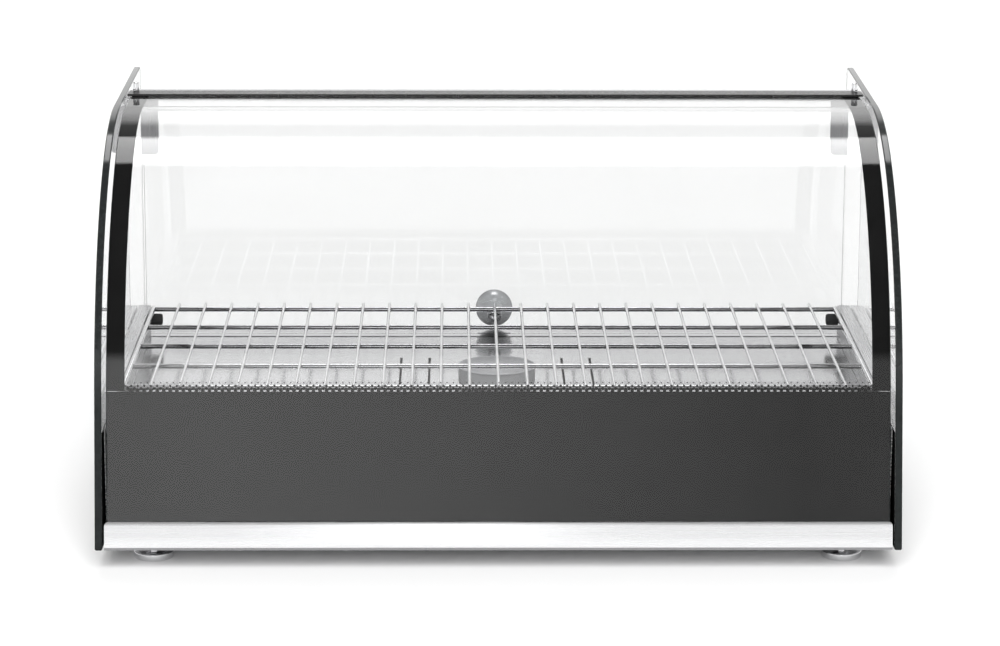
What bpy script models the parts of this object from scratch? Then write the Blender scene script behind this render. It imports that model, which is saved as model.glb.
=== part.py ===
"""A countertop heated food display: glass side panels and a curved front glass over a stainless base,
with a wire rack, a top-hinged rear door and the heating parts in the base.

X runs across the front, Y from the front to the rear, Z up. The origin is on the surface that the
feet stand on, below the middle of the side panels.
"""
import math

import bmesh
import bpy
from mathutils import Matrix, Vector

MM = 0.001

# Overall size
WIDTH = 554 * MM                 # over the two side panels
DEPTH = 365 * MM                 # of a side panel
FOOT_HEIGHT = 16 * MM            # from the surface to the underside of the side panels
TOP = 292.8 * MM                 # top of the front curve
PANEL_RISE = 3.1 * MM            # that a side panel's top edge climbs towards the rear
PANEL_THICKNESS = 5 * MM
GAP = 0.3 * MM                   # left between pieces that touch

# Front profile: a straight line that leans back, a long arc, a tighter arc and a flat top
LEAN = math.radians(79.5)        # the straight part, measured from the horizontal
LINE_TOP = 123.8 * MM
LONG_RADIUS = 217.3 * MM
TIGHT_RADIUS = 169.2 * MM
TIGHT_FROM = math.radians(35)
ARC_STEPS = 14

# Side panels
PANEL_CORNER = 6 * MM            # radius of the rear corners
BOLT_HOLE = 2.6 * MM
BOLT_SPOTS = (("front", 45 * MM, 50 * MM), ("rear", 300 * MM, 50 * MM))

# Front glass
GLASS_INSET = 2 * MM             # behind the side panels' edges
GLASS_THICKNESS = 4 * MM
GLASS_HALF = 269 * MM
GLASS_FOOT = 22 * MM
GLASS_REAR = 269 * MM

# Base
SHEET = 1 * MM
PAN_HALF = 271.5 * MM
PAN_FRONT = 25.5 * MM
PAN_REAR = 333 * MM
PAN_BOTTOM = 16.7 * MM
PAN_TOP = 95.7 * MM
FLOOR_Z = 96 * MM
FLOOR_THICKNESS = 1.2 * MM
FLOOR_HALF = 270 * MM
FLOOR_FRONT = 26 * MM
SLOT_OFFSETS = (49 * MM, 70 * MM)
SLOT_WIDTH = 1.6 * MM
SLOT_FRONT = 110 * MM
SLOT_REAR = 230 * MM
FLANGE_REAR = 38 * MM            # of the front wall
NUT_RADIUS = 7.5 * MM
NUT_TOP = 8 * MM                 # above the underside of the pan
NUT_BORE = 4.6 * MM
LINER_FACE = 262 * MM
LINER_TOP = 121.3 * MM
LINER_FRONT = 28 * MM
LINER_REAR = 298 * MM
STOP_BOTTOM = 103 * MM
TRIM_HALF = 270 * MM
TRIM_TOP = 35.4 * MM
TRIM_BOTTOM = 15.4 * MM
TRIM_INSET = 0.6 * MM            # behind the side panels' edges
TRIM_LIP = 27 * MM
FRONT_TRIM_HALF = 270.6 * MM
PAD_X = 160 * MM                 # rubber pads under the front glass
PAD_HALF = 15 * MM
PAD_FRONT = 3.2 * MM
PAD_REAR = 7.2 * MM
REAR_PANEL = 333.3 * MM          # inner face of the rear panel
REAR_FACE = REAR_PANEL + 1.2 * MM
CONTROL_Z = 58 * MM

# Rack
RAIL_PITCH = 61.4 * MM
RAIL_FRONT = 45.6 * MM
RAIL_COUNT = 5
RAIL_RADIUS = 1.8 * MM
RAIL_Z = 120.4 * MM
SIDE_ROD_X = 259.5 * MM
SIDE_ROD_RADIUS = 2 * MM
WIRE_PITCH = 20 * MM
WIRE_COUNT = 25
WIRE_RADIUS = 1.1 * MM
WIRE_FRONT = 38 * MM
WIRE_REAR = 299.5 * MM
WELD_DEPTH = 0.5 * MM            # that a wire sinks into a rail
PEG_RADIUS = 4.4 * MM
PEG_TIP = 252 * MM
PEG_DEPTHS = (60 * MM, 286 * MM)

# Water cup and heating parts
CUP_DEPTH = 151 * MM
ELEMENT_Z = 76 * MM
ELEMENT_RADIUS = 3.25 * MM
ELEMENT_BEND = 22 * MM
SHIELD_Z = 60 * MM
SHIELD_HALF = 262 * MM
SHIELD_FRONT = 45 * MM
SHIELD_REAR = 280 * MM
SUPPORT_HALF = 178 * MM
SUPPORT_DEPTHS = (110 * MM, 210 * MM)
SENSOR_X = 100 * MM
SENSOR_Z = 91 * MM
SENSOR_FRONT = 150 * MM
SENSOR_REAR = 240 * MM
SENSOR_RADIUS = 3 * MM

# Rear door
DOOR_FRONT = 303 * MM
DOOR_THICKNESS = 4 * MM
DOOR_HALF = 265.8 * MM
DOOR_BOTTOM = 98.5 * MM
DOOR_TOP = 284 * MM
HINGE_Y = DOOR_FRONT + DOOR_THICKNESS / 2
HINGE_Z = 281 * MM
KNOB_Z = 113 * MM
KNOB_RADIUS = 14.2 * MM
KNOB_NECK = 5 * MM
KNOB_NECK_LENGTH = 10 * MM
KNOB_HOLE = 2.6 * MM
CLIP_WIDTH = 12 * MM
CLIP_HEIGHT = 45 * MM
PIN_RADIUS = 2 * MM

# Controls on the rear panel
THERMOSTAT_X = 150 * MM
THERMOSTAT_HALF = 18 * MM
THERMOSTAT_FRONT = 302 * MM
SCALE_RADIUS = 26 * MM
SWITCH_X = 75 * MM
LAMP_X = 108 * MM
GLAND_X = -180 * MM
GLAND_Z = 45 * MM
SHAFT_RADIUS = 3 * MM
PANEL_HOLE = 4.5 * MM            # for the thermostat shaft and the lamp
GLAND_HOLE = 8.3 * MM
SWITCH_HOLE = (13.8 * MM, 10.8 * MM)
REAR_SCREWS = ((-255 * MM, 30 * MM), (-255 * MM, 85 * MM), (255 * MM, 30 * MM), (255 * MM, 85 * MM))

# Feet
FOOT_X = 240 * MM
FOOT_DEPTHS = (41 * MM, 305 * MM)
STEM_RADIUS = 4 * MM

# Bars that hold the rear end of the front glass
CLAMP_HALF = 271.6 * MM
CLAMP_FRONT = 248.4 * MM
CLAMP_REAR = 265.6 * MM
CLAMP_THICKNESS = 1.6 * MM
BAR_REAR = 283 * MM
BAR_LIP = 279 * MM               # height of the flange behind the bar
BAR_LIP_REAR = 299 * MM
TOP_SCREW_X = 266.3 * MM
TOP_SCREW_DEPTH = 260 * MM
TOP_SCREW_FOOT = 282 * MM
TOP_SCREW_HEAD = 11.2            # mm above its foot
TOP_SCREW_LENGTH = 17.8          # mm
TOP_SCREW_HOLE = 2.3 * MM

# Colour, roughness, metallic
FINISHES = {
    "glass": ((0.86, 0.90, 0.90, 0.35), 0.05, 0.0),
    "steel": ((0.62, 0.62, 0.63, 1.0), 0.35, 1.0),
    "chrome": ((0.75, 0.75, 0.76, 1.0), 0.12, 1.0),
    "black": ((0.02, 0.02, 0.02, 1.0), 0.4, 0.0),
    "rubber": ((0.03, 0.03, 0.03, 1.0), 0.8, 0.0),
    "ceramic": ((0.85, 0.83, 0.78, 1.0), 0.6, 0.0),
    "red": ((0.6, 0.03, 0.02, 1.0), 0.2, 0.0),
}


def depth(d):
    """World Y of a distance behind the lower front corner of the side panels."""
    return d - DEPTH / 2


def clear_scene():
    for obj in list(bpy.data.objects):
        bpy.data.objects.remove(obj, do_unlink=True)


def new_collection(name):
    collection = bpy.data.collections.new(name)
    bpy.context.scene.collection.children.link(collection)
    return collection


def place(obj, name, finish):
    """Names an object, moves it to the parts collection and gives it a material of its own."""
    obj.name = name
    obj.data.name = name
    for collection in list(obj.users_collection):
        collection.objects.unlink(obj)
    PARTS.objects.link(obj)
    colour, roughness, metallic = FINISHES[finish]
    material = bpy.data.materials.new(name)
    material.use_nodes = True
    shader = material.node_tree.nodes["Principled BSDF"]
    shader.inputs["Base Color"].default_value = colour
    shader.inputs["Alpha"].default_value = colour[3]
    shader.inputs["Roughness"].default_value = roughness
    shader.inputs["Metallic"].default_value = metallic
    obj.data.materials.clear()
    obj.data.materials.append(material)
    return obj


def mesh_object(name, bm):
    mesh = bpy.data.meshes.new(name)
    bm.normal_update()
    bm.to_mesh(mesh)
    bm.free()
    obj = bpy.data.objects.new(name, mesh)
    bpy.context.scene.collection.objects.link(obj)
    return obj


def add_box(bm, low, high):
    """Adds a box given by its corners, in world axes."""
    low, high = Vector(low), Vector(high)
    size = high - low
    matrix = Matrix.Translation((low + high) / 2) @ Matrix.Diagonal((*size, 1))
    bmesh.ops.create_cube(bm, size=1, matrix=matrix)


def add_rod(bm, start, end, radius, sides=12, end_radius=None):
    """Adds a cylinder, or a cone, between two points."""
    start, end = Vector(start), Vector(end)
    along = end - start
    turn = along.to_track_quat("Z", "Y").to_matrix().to_4x4()
    matrix = Matrix.Translation((start + end) / 2) @ turn
    bmesh.ops.create_cone(bm, cap_ends=True, segments=sides, radius1=radius,
                          radius2=radius if end_radius is None else end_radius,
                          depth=along.length, matrix=matrix)


def box(name, finish, low, high):
    bm = bmesh.new()
    add_box(bm, low, high)
    return place(mesh_object(name, bm), name, finish)


def rod(name, finish, start, end, radius, sides=12):
    bm = bmesh.new()
    add_rod(bm, start, end, radius, sides)
    return smooth(place(mesh_object(name, bm), name, finish))


def smooth(obj):
    obj.data.shade_smooth()
    obj.data.set_sharp_from_angle(angle=math.radians(40))
    return obj


def cutter(bm):
    """Turns a bmesh into a cutter that no part shows."""
    obj = mesh_object("cutter", bm)
    bpy.context.scene.collection.objects.unlink(obj)
    CUTTERS.objects.link(obj)
    obj.hide_render = True
    obj.display_type = "WIRE"
    return obj


def boolean(obj, tool, operation="DIFFERENCE"):
    modifier = obj.modifiers.new("cut", "BOOLEAN")
    modifier.operation = operation
    modifier.solver = "EXACT"
    modifier.object = tool


AXIS_TURNS = {
    "X": Matrix(((0, 0, 1, 0), (1, 0, 0, 0), (0, 1, 0, 0), (0, 0, 0, 1))),   # outline in Y, Z
    "Y": Matrix(((1, 0, 0, 0), (0, 0, -1, 0), (0, 1, 0, 0), (0, 0, 0, 1))),  # outline in X, Z
    "Z": Matrix.Identity(4),                                                 # outline in X, Y
}


def prism(name, finish, axis, outline, start, end, holes=()):
    """A flat outline, with holes if any, drawn across one axis and extruded along it as a mesh."""
    curve = bpy.data.curves.new(name, "CURVE")
    curve.dimensions = "2D"
    curve.fill_mode = "BOTH"
    curve.extrude = abs(end - start) / 2
    for points in (outline, *holes):
        spline = curve.splines.new("POLY")
        spline.points.add(len(points) - 1)
        for point, (a, b) in zip(spline.points, points):
            point.co = (a, b, 0, 1)
        spline.use_cyclic_u = True
    obj = bpy.data.objects.new(name, curve)
    bpy.context.scene.collection.objects.link(obj)
    middle = (start + end) / 2
    turn = AXIS_TURNS[axis]
    obj.matrix_world = Matrix.Translation(turn.to_3x3() @ Vector((0, 0, middle))) @ turn
    return place(as_mesh(obj), name, finish)


def as_mesh(obj):
    """Replaces a curve object by a closed mesh object in the same place."""
    bpy.context.view_layer.update()
    evaluated = obj.evaluated_get(bpy.context.evaluated_depsgraph_get())
    mesh = bpy.data.meshes.new_from_object(evaluated)
    bm = bmesh.new()
    bm.from_mesh(mesh)
    bmesh.ops.remove_doubles(bm, verts=bm.verts, dist=0.01 * MM)
    bmesh.ops.recalc_face_normals(bm, faces=bm.faces)
    bm.to_mesh(mesh)
    bm.free()
    solid = bpy.data.objects.new(obj.name, mesh)
    bpy.context.scene.collection.objects.link(solid)
    solid.matrix_world = obj.matrix_world
    bpy.data.objects.remove(obj, do_unlink=True)
    return solid


def circle(a, b, radius, sides=16):
    steps = (2 * math.pi * i / sides for i in range(sides))
    return [(a + radius * math.cos(t), b + radius * math.sin(t)) for t in steps]


def folded(path, thickness):
    """Closed outline of a folded sheet: the path, and the same path moved to its left."""
    moved = []
    for i, point in enumerate(path):
        point = Vector(point)
        before = (point - Vector(path[i - 1])).normalized() if i else None
        after = (Vector(path[i + 1]) - point).normalized() if i < len(path) - 1 else None
        before, after = before or after, after or before
        left = Vector((-before.y, before.x)) + Vector((-after.y, after.x))
        left.normalize()
        reach = thickness / left.dot(Vector((-before.y, before.x)))
        moved.append(tuple(point + left * reach))
    return list(path) + moved[::-1]


def turned(name, finish, profile, origin, axis, steps=24):
    """A turned solid: radius and height points, top to bottom, swept round an axis at an origin."""
    bm = bmesh.new()
    verts = [bm.verts.new((r, 0, h)) for r, h in profile]
    for a, b in zip(verts, verts[1:]):
        bm.edges.new((a, b))
    obj = mesh_object(name, bm)
    screw = obj.modifiers.new("turn", "SCREW")
    screw.steps = screw.render_steps = steps
    screw.use_merge_vertices = True
    screw.merge_threshold = 0.01 * MM
    screw.use_normal_calculate = False
    turn = Vector(axis).to_track_quat("Z", "Y").to_matrix().to_4x4()
    obj.matrix_world = Matrix.Translation(origin) @ turn
    obj.data.shade_smooth()
    return place(obj, name, finish)


def profile_point(angle, inset):
    """A point of the front profile where it has this slope, moved inwards, as depth and height."""
    def outward(t):
        return Vector((-math.sin(t), math.cos(t)))
    start = Vector(((LINE_TOP - FOOT_HEIGHT) / math.tan(LEAN), LINE_TOP))
    long_centre = start - LONG_RADIUS * outward(LEAN)
    if angle >= TIGHT_FROM:
        return long_centre + (LONG_RADIUS - inset) * outward(angle)
    tight_centre = long_centre + (LONG_RADIUS - TIGHT_RADIUS) * outward(TIGHT_FROM)
    return tight_centre + (TIGHT_RADIUS - inset) * outward(angle)


def front_line(inset, height):
    """Depth of the leaning front at a height, moved inwards."""
    return (height - FOOT_HEIGHT) / math.tan(LEAN) + inset / math.sin(LEAN)


def front_curve(inset, foot, rear):
    """The front profile from its foot, up round the arcs and along the top to the rear."""
    points = [(front_line(inset, foot), foot)]
    for i in range(ARC_STEPS + 1):
        points.append(tuple(profile_point(LEAN * (1 - i / ARC_STEPS), inset)))
    points.append((rear, points[-1][1]))
    return points


def world_outline(points):
    return [(depth(d), z) for d, z in points]


def side_panels():
    """Flat glass ends, with a curved front edge, rounded rear corners and two bolt holes."""
    corner = PANEL_CORNER
    rear = []
    for centre_z, first in ((TOP + PANEL_RISE - corner, 90), (FOOT_HEIGHT + corner, 0)):
        for i in range(4):
            t = math.radians(first - 30 * i)
            rear.append((DEPTH - corner + corner * math.cos(t), centre_z + corner * math.sin(t)))
    outline = world_outline(front_curve(0, FOOT_HEIGHT, DEPTH - corner)[:-1] + rear)
    holes = [circle(depth(d), z, BOLT_HOLE, 12) for _, d, z in BOLT_SPOTS]
    inner = WIDTH / 2 - PANEL_THICKNESS
    prism("side_panel_left", "glass", "X", outline, -WIDTH / 2, -inner, holes)
    prism("side_panel_right", "glass", "X", outline, inner, WIDTH / 2, holes)


def side_bolts():
    """Dome-head bolts that hold the side panels to the base pan."""
    shank = -(WIDTH / 2 - PAN_HALF) / MM
    profile = [(0, 2), (3.2, 2), (5, 0.6), (5, 0), (2, 0), (2, shank), (0, shank)]
    profile = [(r * MM, h * MM) for r, h in profile]
    for side, name in ((-1, "left"), (1, "right")):
        for end, d, z in BOLT_SPOTS:
            turned(f"side_bolt_{name}_{end}", "chrome", profile,
                   (side * (WIDTH / 2 + GAP), depth(d), z), (side, 0, 0), 16)


def unite(obj):
    """Unites the overlapping solids of one mesh."""
    modifier = obj.modifiers.new("unite", "BOOLEAN")
    modifier.operation = "UNION"
    modifier.solver = "EXACT"
    modifier.use_self = True
    modifier.object = cutter(bmesh.new())


def front_glass():
    """Curved glass that rises from the trim and runs back along the top to the top bar."""
    outer = front_curve(GLASS_INSET, GLASS_FOOT, GLASS_REAR)
    inner = front_curve(GLASS_INSET + GLASS_THICKNESS, GLASS_FOOT, GLASS_REAR)
    outline = world_outline(outer + inner[::-1])
    obj = prism("front_glass", "glass", "X", outline, -GLASS_HALF, GLASS_HALF)
    boolean(obj, top_screw_cutter())
    smooth(obj)


def top_screw_cutter():
    """Holes for the two pins, through the glass and both bars."""
    bm = bmesh.new()
    y = depth(TOP_SCREW_DEPTH)
    for x in (-TOP_SCREW_X, TOP_SCREW_X):
        add_rod(bm, (x, y, TOP - 20 * MM), (x, y, TOP + 5 * MM), TOP_SCREW_HOLE, 16)
    return cutter(bm)


def top_bar():
    """Folded bar under the rear end of the front glass, and the flat black bar that clamps it."""
    glass_top = TOP - GLASS_INSET
    ledge = glass_top - GLASS_THICKNESS - GAP - SHEET
    path = [(CLAMP_FRONT, ledge), (GLASS_REAR + GAP + SHEET, ledge),
            (GLASS_REAR + GAP + SHEET, glass_top - SHEET), (BAR_REAR, glass_top - SHEET),
            (BAR_REAR, BAR_LIP), (BAR_LIP_REAR, BAR_LIP)]
    obj = prism("top_bar", "steel", "X", world_outline(folded(path, SHEET)), -TRIM_HALF, TRIM_HALF)
    boolean(obj, top_screw_cutter())
    clamp = box("clamp_bar", "black", (-CLAMP_HALF, depth(CLAMP_FRONT), glass_top + GAP),
                (CLAMP_HALF, depth(CLAMP_REAR), glass_top + GAP + CLAMP_THICKNESS))
    boolean(clamp, top_screw_cutter())


def top_screws():
    """Pins with small heads that clamp the rear corners of the front glass between the two bars."""
    head = TOP_SCREW_HEAD
    end = TOP_SCREW_LENGTH
    profile = [(0, end), (1.6, end), (2.4, end - 0.8), (2.4, head), (1.9, head), (1.9, 0), (0, 0)]
    profile = [(r * MM, h * MM) for r, h in profile]
    for name, x in (("top_screw_left", -TOP_SCREW_X), ("top_screw_right", TOP_SCREW_X)):
        turned(name, "chrome", profile, (x, depth(TOP_SCREW_DEPTH), TOP_SCREW_FOOT), (0, 0, 1), 16)


def front_trim():
    """Folded stainless strip along the foot of the front glass, with a lip under the base."""
    inner = TRIM_INSET + SHEET
    lip = TRIM_BOTTOM + SHEET
    path = [(TRIM_LIP, lip), (front_line(inner, TRIM_BOTTOM), lip), (front_line(inner, TRIM_TOP), TRIM_TOP)]
    outline = world_outline(folded(path, SHEET))
    prism("front_trim", "steel", "X", outline, -FRONT_TRIM_HALF, FRONT_TRIM_HALF)
    for name, x in (("left", -PAD_X), ("right", PAD_X)):
        box(f"glass_pad_{name}", "rubber", (x - PAD_HALF, depth(PAD_FRONT), lip + GAP),
            (x + PAD_HALF, depth(PAD_REAR), GLASS_FOOT - GAP))


def base_pan():
    """U-shaped pan: the underside and both sides of the base, with welded nuts for the feet."""
    path = [(-PAN_HALF, PAN_TOP), (-PAN_HALF, PAN_BOTTOM), (PAN_HALF, PAN_BOTTOM), (PAN_HALF, PAN_TOP)]
    obj = prism("base_pan", "steel", "Y", folded(path, SHEET), -depth(PAN_FRONT), -depth(PAN_REAR))
    nuts, holes = bmesh.new(), bmesh.new()
    for x in (-FOOT_X, FOOT_X):
        for d in FOOT_DEPTHS:
            y = depth(d)
            add_rod(nuts, (x, y, PAN_BOTTOM + SHEET / 2), (x, y, PAN_BOTTOM + NUT_TOP), NUT_RADIUS, 6)
            add_rod(holes, (x, y, PAN_BOTTOM - 4 * MM), (x, y, PAN_BOTTOM + 12 * MM), NUT_BORE, 16)
    boolean(obj, cutter(nuts), "UNION")
    boolean(obj, cutter(holes))


def front_wall():
    """Inner front of the base, behind the dark foot of the glass, with a flange under the floor."""
    face = PAN_FRONT - GAP - SHEET
    path = [(face, PAN_BOTTOM), (face, PAN_TOP), (FLANGE_REAR, PAN_TOP)]
    outline = world_outline(folded(path, -SHEET))
    prism("front_wall", "steel", "X", outline, -FLOOR_HALF, FLOOR_HALF)


def floor_plate():
    """Heated floor with four slots beside the water cup."""
    obj = box("floor_plate", "steel", (-FLOOR_HALF, depth(FLOOR_FRONT), FLOOR_Z),
              (FLOOR_HALF, depth(PAN_REAR), FLOOR_Z + FLOOR_THICKNESS))
    bm = bmesh.new()
    for offset in SLOT_OFFSETS:
        for x in (-offset, offset):
            add_box(bm, (x - SLOT_WIDTH / 2, depth(SLOT_FRONT), FLOOR_Z - 5 * MM),
                    (x + SLOT_WIDTH / 2, depth(SLOT_REAR), FLOOR_Z + 5 * MM))
    boolean(obj, cutter(bm))


def side_liners():
    """Folded stainless walls inside the side panels, and the stops that the door closes on."""
    foot = FLOOR_Z + FLOOR_THICKNESS + GAP
    path = [(LINER_FACE, foot), (LINER_FACE, LINER_TOP), (PAN_HALF, LINER_TOP)]
    right = folded(path, -SHEET)
    left = [(-x, z) for x, z in right][::-1]
    for name, outline in (("side_liner_left", left), ("side_liner_right", right)):
        prism(name, "steel", "Y", outline, -depth(LINER_FRONT), -depth(LINER_REAR))
    for name, side in (("door_stop_left", -1), ("door_stop_right", 1)):
        near, far = sorted((side * (LINER_FACE + GAP), side * PAN_HALF))
        box(name, "steel", (near, depth(LINER_REAR + GAP), STOP_BOTTOM),
            (far, depth(DOOR_FRONT - 0.6 * MM), LINER_TOP))


def rear_panel():
    """Flat plate that closes the rear of the base, with holes for the controls and the cord gland."""
    obj = box("rear_panel", "steel", (-FLOOR_HALF, depth(REAR_PANEL), PAN_BOTTOM + SHEET + GAP),
              (FLOOR_HALF, depth(REAR_FACE), PAN_TOP - GAP))
    bm = bmesh.new()
    near, far = depth(REAR_PANEL - 5 * MM), depth(REAR_FACE + 5 * MM)
    add_rod(bm, (THERMOSTAT_X, near, CONTROL_Z), (THERMOSTAT_X, far, CONTROL_Z), PANEL_HOLE, 16)
    add_rod(bm, (LAMP_X, near, CONTROL_Z), (LAMP_X, far, CONTROL_Z), PANEL_HOLE, 16)
    add_rod(bm, (GLAND_X, near, GLAND_Z), (GLAND_X, far, GLAND_Z), GLAND_HOLE, 24)
    half_x, half_z = SWITCH_HOLE
    add_box(bm, (SWITCH_X - half_x, near, CONTROL_Z - half_z), (SWITCH_X + half_x, far, CONTROL_Z + half_z))
    boolean(obj, cutter(bm))
    profile = [(0, 1.8), (1.4, 1.6), (3, 0.4), (3, 0), (0, 0)]
    profile = [(r * MM, h * MM) for r, h in profile]
    for i, (x, z) in enumerate(REAR_SCREWS):
        turned(f"rear_screw_{i + 1}", "chrome", profile, (x, depth(REAR_FACE + GAP), z), (0, 1, 0), 12)


def rack():
    """Welded wire rack: rails across, a rod at each end, close wires front to rear, and its pegs."""
    bm = bmesh.new()
    for i in range(RAIL_COUNT):
        y = depth(RAIL_FRONT + i * RAIL_PITCH)
        add_rod(bm, (-SIDE_ROD_X, y, RAIL_Z), (SIDE_ROD_X, y, RAIL_Z), RAIL_RADIUS, 10)
    front, rear = depth(RAIL_FRONT - 3 * MM), depth(RAIL_FRONT + 4 * RAIL_PITCH + 3 * MM)
    for x in (-SIDE_ROD_X, SIDE_ROD_X):
        add_rod(bm, (x, front, RAIL_Z), (x, rear, RAIL_Z), SIDE_ROD_RADIUS, 12)
    z = RAIL_Z + RAIL_RADIUS + WIRE_RADIUS - WELD_DEPTH
    for i in range(WIRE_COUNT):
        x = (i - (WIRE_COUNT - 1) / 2) * WIRE_PITCH
        add_rod(bm, (x, depth(WIRE_FRONT), z), (x, depth(WIRE_REAR), z), WIRE_RADIUS, 8)
    obj = mesh_object("wire_rack", bm)
    unite(obj)
    smooth(place(obj, "wire_rack", "chrome"))
    peg_z = RAIL_Z - SIDE_ROD_RADIUS - GAP - PEG_RADIUS
    for side, name in ((-1, "left"), (1, "right")):
        for end, d in zip(("front", "rear"), PEG_DEPTHS):
            rod(f"rack_peg_{name}_{end}", "rubber", (side * (LINER_FACE - GAP), depth(d), peg_z),
                (side * PEG_TIP, depth(d), peg_z), PEG_RADIUS)


def water_cup():
    """Round stainless cup that keeps the air moist, standing on the floor below the rack."""
    profile = [(27.2, 13.5), (28.5, 13.5), (28.5, 1.5), (27, 0), (0, 0)]
    inside = [(0, 1.2), (26.2, 1.2), (27.2, 2.2), (27.2, 13.5)]
    points = [(r * MM, h * MM) for r, h in profile + inside]
    origin = (0, depth(CUP_DEPTH), FLOOR_Z + FLOOR_THICKNESS + GAP)
    turned("water_cup", "steel", points, origin, (0, 0, 1), 32)


def rounded_path(corners, radius, steps=5):
    """Corners of a flat path rounded off with arcs."""
    path = [Vector(corners[0])]
    for before, corner, after in zip(corners, corners[1:], corners[2:]):
        corner = Vector(corner)
        into = (corner - Vector(before)).normalized()
        out = (Vector(after) - corner).normalized()
        centre = corner - into * radius + out * radius
        for i in range(steps + 1):
            t = math.radians(90 * i / steps)
            path.append(centre - out * radius * math.cos(t) + into * radius * math.sin(t))
    path.append(Vector(corners[-1]))
    return path


def heater():
    """Tubular element under the floor, its supports, the shield below it and the sensor bulb."""
    z = ELEMENT_Z
    corners = [(-170, 300), (-170, 70), (-60, 70), (-60, 250), (60, 250), (60, 70), (170, 70), (170, 290)]
    route = rounded_path([(x * MM, depth(d * MM), z) for x, d in corners], ELEMENT_BEND)
    curve = bpy.data.curves.new("heating_element", "CURVE")
    curve.dimensions = "3D"
    curve.bevel_depth = ELEMENT_RADIUS
    curve.bevel_resolution = 2
    curve.use_fill_caps = True
    spline = curve.splines.new("POLY")
    spline.points.add(len(route) - 1)
    for point, spot in zip(spline.points, route):
        point.co = (*spot, 1)
    obj = bpy.data.objects.new("heating_element", curve)
    bpy.context.scene.collection.objects.link(obj)
    place(obj, "heating_element", "steel")
    foot = PAN_BOTTOM + SHEET + GAP
    path = [(-SHIELD_HALF, foot), (-SHIELD_HALF, SHIELD_Z), (SHIELD_HALF, SHIELD_Z), (SHIELD_HALF, foot)]
    prism("heat_shield", "steel", "Y", folded(path, -SHEET), -depth(SHIELD_FRONT), -depth(SHIELD_REAR))
    for name, d in zip(("front", "rear"), SUPPORT_DEPTHS):
        box(f"element_support_{name}", "ceramic", (-SUPPORT_HALF, depth(d - 3 * MM), SHIELD_Z + GAP),
            (SUPPORT_HALF, depth(d + 3 * MM), z - 3.6 * MM))
    rod("sensor_bulb", "steel", (SENSOR_X, depth(SENSOR_FRONT), SENSOR_Z),
        (SENSOR_X, depth(SENSOR_REAR), SENSOR_Z), SENSOR_RADIUS)


def thermostat():
    """Thermostat body inside the base, a scale ring on the rear panel and the turning knob."""
    half = THERMOSTAT_HALF
    box("thermostat_body", "ceramic", (THERMOSTAT_X - half, depth(THERMOSTAT_FRONT), CONTROL_Z - half),
        (THERMOSTAT_X + half, depth(REAR_PANEL - GAP), CONTROL_Z + half))
    ring = prism("thermostat_scale", "steel", "Y", circle(THERMOSTAT_X, CONTROL_Z, SCALE_RADIUS, 40),
                 -depth(REAR_FACE + GAP), -depth(REAR_FACE + 1.1 * MM),
                 [circle(THERMOSTAT_X, CONTROL_Z, 5 * MM)])
    ring.data.shade_flat()
    base = REAR_FACE + 1.5 * MM
    profile = [(0, 5), (17.5, 5), (19.5, 3.5), (19.5, 0), (0, 0)]
    profile = [(r * MM, h * MM) for r, h in profile]
    centre = (THERMOSTAT_X, depth(base), CONTROL_Z)
    knob = turned("thermostat_knob", "black", profile, centre, (0, 1, 0), 40)
    bm = bmesh.new()
    add_box(bm, (THERMOSTAT_X - 5 * MM, depth(base + 2 * MM), CONTROL_Z - 17 * MM),
            (THERMOSTAT_X + 5 * MM, depth(base + 18 * MM), CONTROL_Z + 17 * MM))
    boolean(knob, cutter(bm), "UNION")
    bm = bmesh.new()
    add_rod(bm, (THERMOSTAT_X, depth(REAR_PANEL + GAP), CONTROL_Z),
            (THERMOSTAT_X, depth(base + 3 * MM), CONTROL_Z), SHAFT_RADIUS, 16)
    boolean(knob, cutter(bm), "UNION")


def switch():
    """Rocker switch: a housing through the rear panel, and the rocker that tips in it."""
    flange_back = REAR_FACE + GAP
    flange_face = flange_back + 2 * MM
    housing = box("switch_housing", "black", (SWITCH_X - 13.3 * MM, depth(314 * MM), CONTROL_Z - 10.3 * MM),
                  (SWITCH_X + 13.3 * MM, depth(flange_face), CONTROL_Z + 10.3 * MM))
    bm = bmesh.new()
    add_box(bm, (SWITCH_X - 16 * MM, depth(flange_back), CONTROL_Z - 13 * MM),
            (SWITCH_X + 16 * MM, depth(flange_face), CONTROL_Z + 13 * MM))
    boolean(housing, cutter(bm), "UNION")
    bm = bmesh.new()
    add_box(bm, (SWITCH_X - 11.6 * MM, depth(322 * MM), CONTROL_Z - 8.8 * MM),
            (SWITCH_X + 11.6 * MM, depth(flange_face + 5 * MM), CONTROL_Z + 8.8 * MM))
    boolean(housing, cutter(bm))
    half, waist = 8 * MM, 5.5 * MM
    tip = math.radians(8)
    outline = [(-waist, -half), (3 * MM, -half), (1.2 * MM, 0), (3 * MM, half), (-waist, half)]
    turned_outline = [(depth(flange_face) - 2 * MM + y * math.cos(tip) - z * math.sin(tip),
                       CONTROL_Z + y * math.sin(tip) + z * math.cos(tip)) for y, z in outline]
    prism("switch_rocker", "black", "X", turned_outline, SWITCH_X - 11 * MM, SWITCH_X + 11 * MM)


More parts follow.
